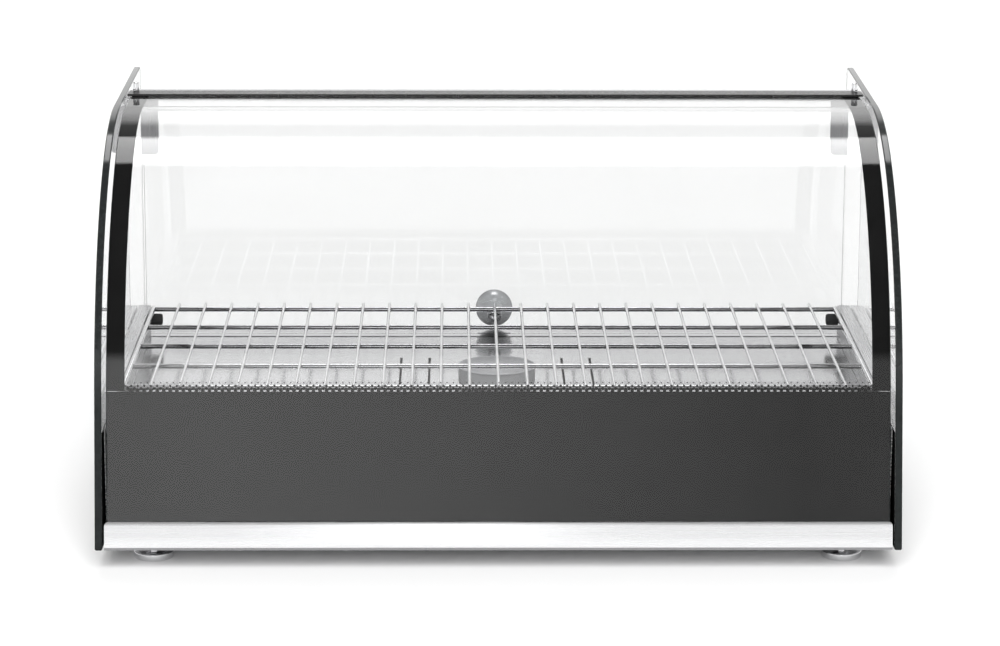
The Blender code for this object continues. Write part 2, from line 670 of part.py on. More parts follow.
def lamp_and_gland():
    """Pilot lamp, and the gland that a mains cord enters by, with its inner nut."""
    origin = (LAMP_X, depth(REAR_FACE + GAP), CONTROL_Z)
    bezel = [(5.2, 2), (6.5, 2), (7, 1.4), (7, 0), (5.2, 0), (5.2, 2)]
    turned("lamp_bezel", "chrome", [(r * MM, h * MM) for r, h in bezel], origin, (0, 1, 0), 24)
    lens = [(0, 5.2), (2.4, 4.8), (4, 3.6), (4.8, 2), (4.8, 0), (4.2, 0), (4.2, -16), (0, -16)]
    turned("pilot_lamp", "red", [(r * MM, h * MM) for r, h in lens], origin, (0, 1, 0), 24)
    origin = (GLAND_X, depth(REAR_FACE + GAP), GLAND_Z)
    gland = [(3.6, 16), (5.5, 16), (8.5, 13), (9.5, 5), (12, 5), (12, 0), (8, 0), (8, -9.5), (3.6, -9.5),
             (3.6, 16)]
    turned("cable_gland", "black", [(r * MM, h * MM) for r, h in gland], origin, (0, 1, 0), 24)
    back = REAR_PANEL - GAP
    nut = prism("gland_nut", "black", "Y", circle(GLAND_X, GLAND_Z, 13 * MM, 6),
                -depth(back), -depth(back - 5 * MM), [circle(GLAND_X, GLAND_Z, 8.4 * MM, 24)])
    nut.data.shade_flat()
    box("terminal_block", "ceramic", (-140 * MM, depth(296 * MM), PAN_BOTTOM + SHEET + GAP),
        (-98 * MM, depth(318 * MM), PAN_BOTTOM + SHEET + 18 * MM))


def door():
    """Glass door hung from two clips at its top corners, with a ball knob near its lower edge."""
    outline = [(-DOOR_HALF, DOOR_BOTTOM), (DOOR_HALF, DOOR_BOTTOM), (DOOR_HALF, DOOR_TOP),
               (-DOOR_HALF, DOOR_TOP)]
    rear = DOOR_FRONT + DOOR_THICKNESS
    hole = circle(0, KNOB_Z, KNOB_HOLE)
    prism("door_glass", "glass", "Y", outline, -depth(DOOR_FRONT), -depth(rear), [hole])
    edge = DOOR_HALF + GAP
    path = [(edge - CLIP_WIDTH, depth(DOOR_FRONT - GAP)), (edge, depth(DOOR_FRONT - GAP)),
            (edge, depth(rear + GAP)), (edge - CLIP_WIDTH, depth(rear + GAP))]
    right = folded(path, -SHEET)
    left = [(-x, y) for x, y in right][::-1]
    for side, name, clip in ((-1, "left", left), (1, "right", right)):
        prism(f"door_clip_{name}", "steel", "Z", clip, DOOR_TOP - CLIP_HEIGHT, DOOR_TOP + GAP)
        inner = edge + SHEET + GAP
        panel = WIDTH / 2 - PANEL_THICKNESS
        rod(f"hinge_pin_{name}", "chrome", (side * inner, depth(HINGE_Y), HINGE_Z),
            (side * (panel - 0.6 * MM), depth(HINGE_Y), HINGE_Z), PIN_RADIUS, 16)
        bush = [(2.4, 2.6), (3.8, 2.6), (3.8, 0), (2.4, 0), (2.4, 2.6)]
        turned(f"hinge_bush_{name}", "black", [(r * MM, h * MM) for r, h in bush],
               (side * (panel - GAP), depth(HINGE_Y), HINGE_Z), (-side, 0, 0), 16)
    screw = [(0, 6.5), (2.2, 6.5), (2.2, 2.2), (5.5, 2.2), (5.5, 1.2), (3.5, 0), (0, 0)]
    turned("knob_screw", "chrome", [(r * MM, h * MM) for r, h in screw],
           (0, depth(DOOR_FRONT - GAP - 2.2 * MM), KNOB_Z), (0, 1, 0), 16)
    centre = KNOB_NECK_LENGTH + KNOB_RADIUS
    first = math.asin(KNOB_NECK / KNOB_RADIUS)
    ball = [(0, centre + KNOB_RADIUS)]
    for i in range(1, 13):
        t = (math.pi - first) * i / 12
        ball.append((KNOB_RADIUS * math.sin(t), centre + KNOB_RADIUS * math.cos(t)))
    ball += [(KNOB_NECK, 0), (0, 0)]
    turned("door_knob", "chrome", ball, (0, depth(rear + GAP), KNOB_Z), (0, 1, 0), 32)


def feet():
    """Four chromed feet that turn on their threaded stems in the nuts of the pan."""
    profile = [(0, 30), (STEM_RADIUS / MM, 30), (STEM_RADIUS / MM, 9), (6, 8), (9.5, 6.8), (13.4, 5.6),
               (14, 4.6), (14, 0.8), (13.2, 0), (0, 0)]
    profile = [(r * MM, h * MM) for r, h in profile]
    for end, d in zip(("front", "rear"), FOOT_DEPTHS):
        for side, x in (("left", -FOOT_X), ("right", FOOT_X)):
            turned(f"foot_{end}_{side}", "chrome", profile, (x, depth(d), 0), (0, 0, 1), 28)


clear_scene()
PARTS = new_collection("heated_display")
CUTTERS = new_collection("cutters")
side_panels()
side_bolts()
front_glass()
top_bar()
top_screws()
front_trim()
base_pan()
front_wall()
floor_plate()
side_liners()
rear_panel()
rack()
water_cup()
heater()
thermostat()
switch()
lamp_and_gland()
door()
feet()
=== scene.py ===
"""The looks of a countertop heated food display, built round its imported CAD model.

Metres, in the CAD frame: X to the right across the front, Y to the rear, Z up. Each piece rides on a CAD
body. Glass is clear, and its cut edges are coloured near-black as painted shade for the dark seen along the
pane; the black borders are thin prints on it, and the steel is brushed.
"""

import math

import bmesh
import bpy
from mathutils import Matrix, Vector


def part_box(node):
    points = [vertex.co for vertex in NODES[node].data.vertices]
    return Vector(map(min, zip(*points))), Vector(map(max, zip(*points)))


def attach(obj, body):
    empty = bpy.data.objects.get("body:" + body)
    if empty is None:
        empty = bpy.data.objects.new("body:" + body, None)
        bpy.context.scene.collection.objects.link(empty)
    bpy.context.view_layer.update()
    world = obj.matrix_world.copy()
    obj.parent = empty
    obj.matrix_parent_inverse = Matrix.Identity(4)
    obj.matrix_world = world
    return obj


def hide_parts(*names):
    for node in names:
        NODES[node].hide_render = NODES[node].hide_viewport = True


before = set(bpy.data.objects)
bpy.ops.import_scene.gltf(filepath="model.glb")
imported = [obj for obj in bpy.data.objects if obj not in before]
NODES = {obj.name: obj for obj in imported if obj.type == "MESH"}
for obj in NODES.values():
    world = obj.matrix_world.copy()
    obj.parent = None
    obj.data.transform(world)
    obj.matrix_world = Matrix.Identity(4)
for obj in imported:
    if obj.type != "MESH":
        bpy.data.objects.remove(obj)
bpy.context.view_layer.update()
MM = 0.001

# Front profile of the glass ends, as in the CAD: a leaning line, a long arc, a tighter arc, a flat top
PANEL_LOW, PANEL_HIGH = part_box("side_panel_right")
FRONT_Y = PANEL_LOW.y
FOOT_HEIGHT = PANEL_LOW.z
LEAN = math.radians(79.5)
LINE_TOP = 123.8 * MM
LONG_RADIUS = 217.3 * MM
TIGHT_RADIUS = 169.2 * MM
TIGHT_FROM = math.radians(35)
GLASS_INSET = 2 * MM
GLASS_THICKNESS = 4 * MM
GLASS_LOW, GLASS_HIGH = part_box("front_glass")
FINE_STEPS = 72
CHAMFER = 0.5 * MM               # along the cut edges of the glass
POLISH_FROM = 0.11               # heights between which a ground edge turns into a polished one
POLISH_FULL = 0.16
SMOOTH_ANGLE = math.radians(38)
FLAT_AREA = 30 * MM * MM         # faces of sheet larger than this are shaded flat
SLACK = 0.002 * MM               # corners closer than this are one


# ---------------------------------------------------------------- materials

def new_material(name):
    """A node material with one Principled shader. Returns the material, its tree and the shader."""
    material = bpy.data.materials.new(name)
    material.use_nodes = True
    tree = material.node_tree
    return material, tree, tree.nodes["Principled BSDF"]


def noise(tree, scale, detail=3.0, stretch=(1, 1, 1)):
    """Noise in the object's own metres, stretched along an axis by a small number there."""
    place = tree.nodes.new("ShaderNodeTexCoord")
    mapping = tree.nodes.new("ShaderNodeMapping")
    mapping.inputs["Scale"].default_value = stretch
    tree.links.new(place.outputs["Object"], mapping.inputs["Vector"])
    texture = tree.nodes.new("ShaderNodeTexNoise")
    texture.inputs["Scale"].default_value = scale
    texture.inputs["Detail"].default_value = detail
    tree.links.new(mapping.outputs["Vector"], texture.inputs["Vector"])
    return texture.outputs["Fac"]


def spread(tree, value, low, high, start=0.3, end=0.7):
    """Maps a noise value to the range low to high."""
    node = tree.nodes.new("ShaderNodeMapRange")
    node.inputs["From Min"].default_value = start
    node.inputs["From Max"].default_value = end
    node.inputs["To Min"].default_value = low
    node.inputs["To Max"].default_value = high
    tree.links.new(value, node.inputs["Value"])
    return node.outputs["Result"]


def shades(tree, value, dark, light):
    """A colour between two, by a noise value."""
    ramp = tree.nodes.new("ShaderNodeValToRGB")
    ramp.color_ramp.elements[0].position = 0.3
    ramp.color_ramp.elements[1].position = 0.7
    ramp.color_ramp.elements[0].color = (*dark, 1)
    ramp.color_ramp.elements[1].color = (*light, 1)
    tree.links.new(value, ramp.inputs["Fac"])
    return ramp.outputs["Color"]


def bump(tree, shader, value, strength, distance):
    """Fine height on a surface, by a noise value."""
    node = tree.nodes.new("ShaderNodeBump")
    node.inputs["Strength"].default_value = strength
    node.inputs["Distance"].default_value = distance
    tree.links.new(value, node.inputs["Height"])
    tree.links.new(node.outputs["Normal"], shader.inputs["Normal"])


def brushed(name, grain, dark, light, rough, depth=0.004 * MM, metal=1.0):
    """Brushed sheet: fine streaks along one axis in colour, roughness and height."""
    material, tree, shader = new_material(name)
    along = 0.012                # a streak's width, as a share of its length
    stretch = {"X": (along, 1, 1), "Y": (1, along, 1), "Z": (1, 1, along)}[grain]
    streaks = noise(tree, 1400, 4, stretch)
    tree.links.new(shades(tree, streaks, dark, light), shader.inputs["Base Color"])
    tree.links.new(spread(tree, streaks, *rough), shader.inputs["Roughness"])
    bump(tree, shader, streaks, 0.35, depth)
    shader.inputs["Metallic"].default_value = metal
    return material


def plated(name, dark, light, rough, rim=(1, 1, 1), metal=1.0):
    """Bright plating, with faint cloudiness. The rim colour is the one seen at a glancing angle."""
    material, tree, shader = new_material(name)
    clouds = noise(tree, 90, 3)
    tree.links.new(shades(tree, clouds, dark, light), shader.inputs["Base Color"])
    tree.links.new(spread(tree, clouds, *rough), shader.inputs["Roughness"])
    shader.inputs["Metallic"].default_value = metal
    shader.inputs["Specular Tint"].default_value = (*rim, 1)
    return material


def moulded(name, dark, light, rough, grain=2600, depth=0.02 * MM):
    """Plastic or rubber with a fine grain."""
    material, tree, shader = new_material(name)
    fine = noise(tree, grain, 2)
    tree.links.new(shades(tree, fine, dark, light), shader.inputs["Base Color"])
    tree.links.new(spread(tree, noise(tree, 160, 3), *rough), shader.inputs["Roughness"])
    bump(tree, shader, fine, 0.3, depth)
    return material


def clear_glass(name):
    """Clear glass that bends what is seen through it, and lets the light through to what it shuts in."""
    material, tree, shader = new_material(name)
    tree.links.new(shades(tree, noise(tree, 12, 2), (0.936, 0.939, 0.939), (0.946, 0.948, 0.948)),
                   shader.inputs["Base Color"])
    shader.inputs["Roughness"].default_value = 0
    shader.inputs["IOR"].default_value = 1.5
    shader.inputs["Transmission Weight"].default_value = 1
    path = tree.nodes.new("ShaderNodeLightPath")
    clear = tree.nodes.new("ShaderNodeBsdfTransparent")
    clear.inputs["Color"].default_value = (0.9, 0.91, 0.91, 1)
    mix = tree.nodes.new("ShaderNodeMixShader")
    tree.links.new(path.outputs["Is Shadow Ray"], mix.inputs["Fac"])
    tree.links.new(shader.outputs["BSDF"], mix.inputs[1])
    tree.links.new(clear.outputs["BSDF"], mix.inputs[2])
    tree.links.new(mix.outputs["Shader"], tree.nodes["Material Output"].inputs["Surface"])
    return material


def deep_glass(name):
    """An edge of the glass, coloured near-black as painted shade for the dark seen when one looks along the
    pane: polished above, only ground below.
    """
    material, tree, shader = new_material(name)
    along = noise(tree, 300, 3)
    # near-black base colour: painted shade standing in for the dark seen when one looks along the pane
    tree.links.new(shades(tree, along, (0.009, 0.010, 0.010), (0.015, 0.017, 0.017)),
                   shader.inputs["Base Color"])
    place = tree.nodes.new("ShaderNodeTexCoord")
    parts = tree.nodes.new("ShaderNodeSeparateXYZ")
    tree.links.new(place.outputs["Object"], parts.inputs["Vector"])
    worn = spread(tree, parts.outputs["Z"], 0.5, 0.0, POLISH_FROM, POLISH_FULL)
    total = tree.nodes.new("ShaderNodeMath")
    tree.links.new(worn, total.inputs[0])
    tree.links.new(spread(tree, along, 0.05, 0.12), total.inputs[1])
    tree.links.new(total.outputs["Value"], shader.inputs["Roughness"])
    shine = spread(tree, parts.outputs["Z"], 0.1, 0.5, POLISH_FROM, POLISH_FULL)
    tree.links.new(shine, shader.inputs["Specular IOR Level"])
    return material


def black_print(name):
    """Black ceramic print on glass."""
    material, tree, shader = new_material(name)
    clouds = noise(tree, 40, 3)
    tree.links.new(shades(tree, clouds, (0.0045, 0.0045, 0.0045), (0.0065, 0.0065, 0.0065)),
                   shader.inputs["Base Color"])
    tree.links.new(spread(tree, noise(tree, 700, 3), 0.6, 0.75), shader.inputs["Roughness"])
    shader.inputs["Specular IOR Level"].default_value = 0
    return material


def lens_plastic(name):
    """Red plastic that some light goes through."""
    material, tree, shader = new_material(name)
    clouds = noise(tree, 200, 2)
    tree.links.new(shades(tree, clouds, (0.50, 0.015, 0.012), (0.62, 0.03, 0.02)),
                   shader.inputs["Base Color"])
    shader.inputs["Roughness"].default_value = 0.12
    shader.inputs["Transmission Weight"].default_value = 0.35
    return material


STEEL = (0.50, 0.50, 0.51), (0.63, 0.63, 0.64)
M = {
    "glass": clear_glass("clear_glass"),
    "edge": deep_glass("glass_edge"),
    "print": black_print("black_print"),
    "steel_x": brushed("brushed_steel_x", "X", *STEEL, (0.20, 0.34)),
    "steel_y": brushed("brushed_steel_y", "Y", *STEEL, (0.22, 0.36)),
    "steel_z": brushed("brushed_steel_z", "Z", *STEEL, (0.22, 0.36)),
    "trim": brushed("trim_steel", "X", (0.83, 0.83, 0.84), (0.91, 0.91, 0.92), (0.20, 0.32)),
    "floor": brushed("floor_steel", "X", (0.50, 0.50, 0.51), (0.60, 0.60, 0.61), (0.10, 0.20)),
    "cup": brushed("cup_steel", "Z", (0.46, 0.46, 0.47), (0.58, 0.58, 0.59), (0.16, 0.26), metal=0.55),
    # the door clips' steel, and also the painted shade on the front trim's bottom bend
    "clip": brushed("clip_steel_and_painted_shade", "Z", (0.30, 0.30, 0.31), (0.40, 0.40, 0.41), (0.26, 0.38)),
    "knob": plated("knob_metal", (0.46, 0.46, 0.47), (0.56, 0.56, 0.57), (0.16, 0.28), (0.12, 0.12, 0.12),
                   metal=0.4),
    "paint": moulded("black_paint", (0.006, 0.006, 0.006), (0.010, 0.010, 0.010), (0.24, 0.34), 900),
    "wire": plated("plated_wire", (0.66, 0.66, 0.67), (0.76, 0.76, 0.77), (0.07, 0.15)),
    "chrome": plated("polished_chrome", (0.68, 0.68, 0.69), (0.76, 0.76, 0.77), (0.03, 0.08)),
    "plastic": moulded("black_plastic", (0.012, 0.012, 0.012), (0.022, 0.022, 0.022), (0.32, 0.46)),
    "rubber": moulded("black_rubber", (0.016, 0.016, 0.016), (0.030, 0.030, 0.030), (0.6, 0.8), 1800),
    "pale": moulded("pale_plastic", (0.74, 0.72, 0.67), (0.82, 0.80, 0.75), (0.45, 0.6)),
    "mark": moulded("white_marking", (0.72, 0.72, 0.70), (0.80, 0.80, 0.78), (0.4, 0.5)),
    "scale": brushed("satin_scale", "X", (0.62, 0.62, 0.63), (0.72, 0.72, 0.73), (0.30, 0.42)),
    "sheath": plated("element_sheath", (0.16, 0.155, 0.15), (0.26, 0.25, 0.24), (0.38, 0.55)),
    "lens": lens_plastic("lamp_lens"),
}


# ---------------------------------------------------------------- mesh helpers

def piece(bm, name, finish, body, replaces=(), extra=(), smooth=True):
    """Turns a bmesh into a named piece that rides on a body and stands for CAD nodes."""
    bmesh.ops.remove_doubles(bm, verts=bm.verts, dist=0.001 * MM)
    bmesh.ops.recalc_face_normals(bm, faces=bm.faces)
    mesh = bpy.data.meshes.new(name)
    bm.to_mesh(mesh)
    bm.free()
    obj = bpy.data.objects.new(name, mesh)
    bpy.context.scene.collection.objects.link(obj)
    for key in (finish, *extra):
        mesh.materials.append(M[key])
    if smooth:
        mesh.shade_smooth()
        mesh.set_sharp_from_angle(angle=SMOOTH_ANGLE)
    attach(obj, body)
    if replaces:
        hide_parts(*replaces)
    return obj


def quad_strip(bm, a, b, closed, index=0):
    """Faces between two rows of vertices of the same length."""
    count = len(a)
    for i in range(count if closed else count - 1):
        j = (i + 1) % count
        corners = [a[i], a[j], b[j], b[i]]
        kept = []
        for v in corners:
            if v not in kept:
                kept.append(v)
        if len(kept) > 2:
            bm.faces.new(kept).material_index = index


def add_lathe(bm, profile, origin, axis, steps):
    """A turned solid: points of radius and height in mm, swept round an axis. Off the axis it is a ring."""
    turn = Vector(axis).to_track_quat("Z", "Y").to_matrix()
    origin = Vector(origin)
    rows = []
    for radius, height in profile:
        if radius == 0:
            rows.append([bm.verts.new(origin + turn @ Vector((0, 0, height * MM)))] * steps)
            continue
        row = []
        for i in range(steps):
            t = 2 * math.pi * i / steps
            spot = Vector((radius * math.cos(t), radius * math.sin(t), height)) * MM
            row.append(bm.verts.new(origin + turn @ spot))
        rows.append(row)
    for a, b in zip(rows, rows[1:]):
        quad_strip(bm, a, b, True)
    if profile[0][0] != 0:
        quad_strip(bm, rows[-1], rows[0], True)


def arc(centre_r, centre_h, radius, first, last, steps):
    """Points of a turned profile on an arc, by angle in degrees from the radial direction."""
    points = []
    for i in range(steps + 1):
        t = math.radians(first + (last - first) * i / steps)
        points.append((max(centre_r + radius * math.cos(t), 0), centre_h + radius * math.sin(t)))
    return points


def add_wire(bm, start, end, radius, sides, round_end):
    """A drawn wire with softened ends."""
    start, end = Vector(start), Vector(end)
    length = (end - start).length / MM
    r = radius / MM
    e = r * round_end
    profile = [(0, 0)] + arc(r - e, e, e, -90, 0, 4) + arc(r - e, length - e, e, 0, 90, 4) + [(0, length)]
    add_lathe(bm, profile, start, end - start, sides)


def box_of(node):
    """Lowest and highest corner of a CAD node, and its middle."""
    low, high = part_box(node)
    return low, high, (low + high) / 2


def add_pin(bm, node, sides, round_end):
    """A wire along X that fills a node's box."""
    low, high, middle = box_of(node)
    start, end = (low.x, middle.y, middle.z), (high.x, middle.y, middle.z)
    add_wire(bm, start, end, (high.z - low.z) / 2, sides, round_end)


def add_block(bm, centre, size, turn=None):
    """A block as a detail of a larger piece, turned round its centre."""
    matrix = Matrix.Translation(centre) @ (turn or Matrix.Identity(4)) @ Matrix.Diagonal((*size, 1))
    bmesh.ops.create_cube(bm, size=1, matrix=matrix)


def ease(bm, least, width, segments):
    """Rounds off each edge that turns by more than the least angle in degrees."""
    sharp = [e for e in bm.edges if len(e.link_faces) == 2 and e.calc_face_angle(0) > math.radians(least)]
    bmesh.ops.bevel(bm, geom=sharp, offset=width, segments=segments, profile=0.5, affect="EDGES",
                    clamp_overlap=True)


def front_point(angle, inset):
    """A point of the front profile by its slope, moved inwards: world Y and Z, and the outward normal."""
    def outward(t):
        """The outward normal where the profile has this slope."""
        return Vector((-math.sin(t), math.cos(t)))
    start = Vector((FRONT_Y + (LINE_TOP - FOOT_HEIGHT) / math.tan(LEAN), LINE_TOP))
    centre = start - LONG_RADIUS * outward(LEAN)
    radius = LONG_RADIUS
    if angle < TIGHT_FROM:
        centre = centre + (LONG_RADIUS - TIGHT_RADIUS) * outward(TIGHT_FROM)
        radius = TIGHT_RADIUS
    return centre + (radius - inset) * outward(angle), outward(angle)


def front_line(inset, z):
    """World Y of the leaning front at a height, moved inwards."""
    return FRONT_Y + (z - FOOT_HEIGHT) / math.tan(LEAN) + inset / math.sin(LEAN)


def profile_rows(foot, rear, steps=FINE_STEPS):
    """Stations of the front profile, foot height to rear Y: a function of the inset for each."""
    rows = []
    flats = 6
    for i in range(flats):
        z = foot + (LINE_TOP - foot) * i / flats
        rows.append(lambda inset, z=z: Vector((front_line(inset, z + inset * math.cos(LEAN)),
                                               z + inset * math.cos(LEAN))))
    for i in range(steps + 1):
        rows.append(lambda inset, t=LEAN * (1 - i / steps): front_point(t, inset)[0])
    top = front_point(0, 0)[0].x
    for i in range(1, flats + 1):
        y = top + (rear - top) * i / flats
        rows.append(lambda inset, y=y: Vector((y, front_point(0, inset)[0].y)))
    return rows


def add_pane(bm, rows, near, far, half, arris, edge_index=1):
    """A bent pane between two insets, as wide as half each way, with chamfered edges."""
    def ring(x, bevel):
        """Both faces' rows of vertices at this X, each moved in by the bevel."""
        out = [row(near + bevel) for row in rows]
        back = [row(far - bevel) for row in rows]
        return [bm.verts.new((x, p.x, p.y)) for p in out], [bm.verts.new((x, p.x, p.y)) for p in back]
    stations = [(-half, arris), (-half + arris, 0), (half - arris, 0), (half, arris)]
    rings = [ring(x, bevel) for x, bevel in stations]
    for i, (a, b) in enumerate(zip(rings, rings[1:])):
        index = 0 if i == 1 else edge_index
        quad_strip(bm, a[0], b[0], False, index)
        quad_strip(bm, a[1], b[1], False, index)
        for k in (0, -1):
            bm.faces.new((a[0][k], b[0][k], b[1][k], a[1][k])).material_index = edge_index
    for out, back in (rings[0], rings[-1]):
        quad_strip(bm, out, back, False, edge_index)


def offset_outline(points, distance):
    """A closed outline moved inwards, where inwards is to the left of its direction."""
    moved = []
    count = len(points)
    for i in range(count):
        a, b, c = (Vector(points[(i + k) % count]) for k in (-1, 0, 1))
        before, after = (b - a).normalized(), (c - b).normalized()
        left = Vector((-before.y - after.y, before.x + after.x)).normalized()
        moved.append(b + left * distance / max(left.dot(Vector((-before.y, before.x))), 0.3))
    return moved


def add_plate(bm, outline, low, high, arris=0.0, face_index=0, edge_index=1):
    """A flat plate across X with this outline in Y and Z, with chamfered edges."""
    inner = offset_outline(outline, arris) if arris else outline
    stations = [(low, inner), (low + arris, outline), (high - arris, outline), (high, inner)]
    if not arris:
        stations = [(low, outline), (high, outline)]
    rings = [[bm.verts.new((x, p[0], p[1])) for p in points] for x, points in stations]
    for a, b in zip(rings, rings[1:]):
        quad_strip(bm, a, b, True, edge_index)
    bm.faces.new(rings[0]).material_index = face_index
    bm.faces.new(rings[-1]).material_index = face_index


def refined(node, finish, body="case", width=0.25 * MM, segments=2, edge=None, axis=None, name=None):
    """A copy of a CAD node with its sharp edges rounded off, which stands for it."""
    bm = bmesh.new()
    bm.from_mesh(NODES[node].data)
    bmesh.ops.remove_doubles(bm, verts=bm.verts, dist=SLACK)
    bmesh.ops.dissolve_limit(bm, angle_limit=math.radians(0.5), verts=bm.verts, edges=bm.edges)
    bm.normal_update()
    for face in bm.faces:
        face.material_index = 0
        if axis is not None and abs(face.normal[axis]) < 0.9:
            face.material_index = 1
    ease(bm, 40, width, segments)
    obj = piece(bm, name or f"{node}_sheet", finish, body, (node,), (edge,) if edge else ())
    for polygon in obj.data.polygons:
        if polygon.area > FLAT_AREA:
            polygon.use_smooth = False


def cut(obj, tool_bm):
    """Cuts a bmesh's shape out of a piece, for good."""
    mesh = bpy.data.meshes.new("tool")
    tool_bm.to_mesh(mesh)
    tool_bm.free()
    tool = bpy.data.objects.new("tool", mesh)
    bpy.context.scene.collection.objects.link(tool)
    modifier = obj.modifiers.new("cut", "BOOLEAN")
    modifier.operation = "DIFFERENCE"
    modifier.solver = "EXACT"
    modifier.object = tool
    bpy.context.view_layer.update()
    evaluated = obj.evaluated_get(bpy.context.evaluated_depsgraph_get())
    result = bpy.data.meshes.new_from_object(evaluated)
    obj.modifiers.clear()
    obj.data = result
    bpy.data.objects.remove(tool)


# ---------------------------------------------------------------- glass and its black prints

def front_glass():
    """The bent pane, with painted shade on its cut edges."""
    rows = profile_rows(GLASS_LOW.z, GLASS_HIGH.y)
    bm = bmesh.new()
    add_pane(bm, rows, GLASS_INSET, GLASS_INSET + GLASS_THICKNESS, GLASS_HIGH.x, CHAMFER)
    piece(bm, "front_glass_pane", "glass", "case", ("front_glass",), ("edge",))


def front_print():
    """Black border in the inner face of the front glass: a foot, two sides, and dots above the foot."""
    depth, ink = 0.12 * MM, 0.06 * MM
    near = GLASS_INSET + GLASS_THICKNESS - depth
    far = near + ink
    side = 12 * MM
    window_foot = 122.4 * MM
    half = GLASS_HIGH.x - CHAMFER
    bm = bmesh.new()
    flats = 8

    def strip(rows, low, high):
        """A thin bent band between two X values."""
        rings = []
        for x in (low, high):
            rings.append(([bm.verts.new((x, *row(near))) for row in rows],
                          [bm.verts.new((x, *row(far))) for row in rows]))
        (a, b), (c, d) = rings
        quad_strip(bm, a, c, False)
        quad_strip(bm, b, d, False)
        quad_strip(bm, a, b, False)
        quad_strip(bm, c, d, False)
        for k in (0, -1):
            bm.faces.new((a[k], c[k], d[k], b[k]))

    foot = []
    print_foot = GLASS_LOW.z + CHAMFER
    for i in range(flats + 1):
        z = print_foot + (window_foot - print_foot) * i / flats
        foot.append(lambda inset, z=z: Vector((front_line(inset, z), z)))
    strip(foot, -half, half)
    sides = profile_rows(window_foot, GLASS_HIGH.y - CHAMFER)
    for low, high in ((-half, -half + side), (half - side, half)):
        strip(sides, low, high)
    piece(bm, "front_print", "print", "case")

    bm = bmesh.new()
    pitch = 4.46 * MM
    overlap = 1 * MM
    dot_rows = ((129.6, 0.45, 0), (127.4, 0.82, 0.5), (125.5, 1.15, 0), (123.3, 1.36, 0.5))
    reach = half - side
    count = int(reach / pitch) + 1
    for height, radius, shift in dot_rows:
        z = height * MM
        if z > LINE_TOP:
            spot, normal = front_point(LEAN - (z - LINE_TOP) / math.sin(LEAN) / LONG_RADIUS, near)
        else:
            spot, normal = Vector((front_line(near, z), z)), Vector((-math.sin(LEAN), math.cos(LEAN)))
        disc = [(0, 0), (radius, 0), (radius, -0.05), (0, -0.05)]
        for i in range(-count, count + 1):
            x = (i + shift) * pitch
            if abs(x) + radius * MM <= reach + overlap:
                add_lathe(bm, disc, (x, spot.x, spot.y), (0, normal.x, normal.y), 14)
    piece(bm, "front_print_dots", "print", "case", smooth=False)


def panel_outline():
    """Outline of a glass end in Y and Z, anticlockwise, with rounded rear and front corners."""
    corner = 6 * MM
    toe = 1.6 * MM
    toe_y = FRONT_Y + 1.1 * toe
    points = []
    for i in range(7):
        t = math.radians(180 + 90 * i / 6)
        points.append((toe_y + toe * math.cos(t), FOOT_HEIGHT + toe + toe * math.sin(t)))
    for centre_z, first in ((FOOT_HEIGHT + corner, -90), (PANEL_HIGH.z - corner, 0)):
        for i in range(9):
            t = math.radians(first + 90 * i / 8)
            points.append((PANEL_HIGH.y - corner + corner * math.cos(t), centre_z + corner * math.sin(t)))
    for i in range(FINE_STEPS + 1):
        p = front_point(LEAN * i / FINE_STEPS, 0)[0]
        points.append((p.x, p.y))
    return points


def side_panels():
    """Both glass ends with their bolt holes, and the black print behind the base on their inner faces."""
    outline = panel_outline()
    inset, corner = 1 * MM, 5 * MM
    gap, ink = 0.03 * MM, 0.05 * MM
    low_print, high_print = FOOT_HEIGHT + inset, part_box("base_pan")[1].z
    rear_print = PANEL_HIGH.y - inset
    printed = [(front_line(inset, low_print), low_print), (rear_print - corner, low_print),
               (rear_print, low_print + corner), (rear_print, high_print),
               (front_line(inset, high_print), high_print)]
    hole = [(0, -12), (2.6, -12), (2.6, 12), (0, 12)]
    for side, name in ((-1, "left"), (1, "right")):
        low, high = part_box(f"side_panel_{name}")
        bm = bmesh.new()
        add_plate(bm, outline, low.x, high.x, 0.7 * MM)
        # the panel's cut edges take the glass edge material, whose near-black colour is painted shade
        panel = piece(bm, f"side_glass_{name}", "glass", "case", (f"side_panel_{name}",), ("edge",))
        holes = bmesh.new()
        for end in ("front", "rear"):
            add_lathe(holes, hole, box_of(f"side_bolt_{name}_{end}")[2], (1, 0, 0), 24)
        cut(panel, holes)
        panel.data.shade_smooth()
        panel.data.set_sharp_from_angle(angle=SMOOTH_ANGLE)
        face = low.x if side > 0 else high.x
        bm = bmesh.new()
        near, far = sorted((face - side * gap, face - side * (gap + ink)))
        add_plate(bm, printed, near, far, 0, 0, 0)
        piece(bm, f"side_print_{name}", "print", "case", smooth=False)


def door_clip(name, side):
    """A folded clip at a top corner of the door: two cheeks, each with a round corner, and a web."""
    low, high, middle = box_of(f"door_clip_{name}")
    corner = 3 * MM
    sheet = 1 * MM
    outer = high.x if side > 0 else low.x
    inner = low.x if side > 0 else high.x
    bm = bmesh.new()
    for y0, y1 in ((low.y, low.y + sheet), (high.y - sheet, high.y)):
        outline = [(outer, high.z), (outer, low.z), (inner + side * corner, low.z)]
        for i in range(1, 9):
            t = math.radians(90 * i / 8)
            outline.append((inner + side * corner * (1 - math.sin(t)), low.z + corner * (1 - math.cos(t))))
        outline.append((inner, high.z))
        rings = [[bm.verts.new((x, y, z)) for x, z in outline] for y in (y0, y1)]
        quad_strip(bm, rings[0], rings[1], True)
        bm.faces.new(rings[0])
        bm.faces.new(rings[1])
    web_middle = (outer - side * sheet / 2, middle.y, middle.z)
    add_block(bm, web_middle, (sheet, high.y - low.y - 2 * sheet, high.z - low.z))
    bmesh.ops.remove_doubles(bm, verts=bm.verts, dist=SLACK)
    piece(bm, f"door_clip_{name}_sheet", "clip", "door", (f"door_clip_{name}",))


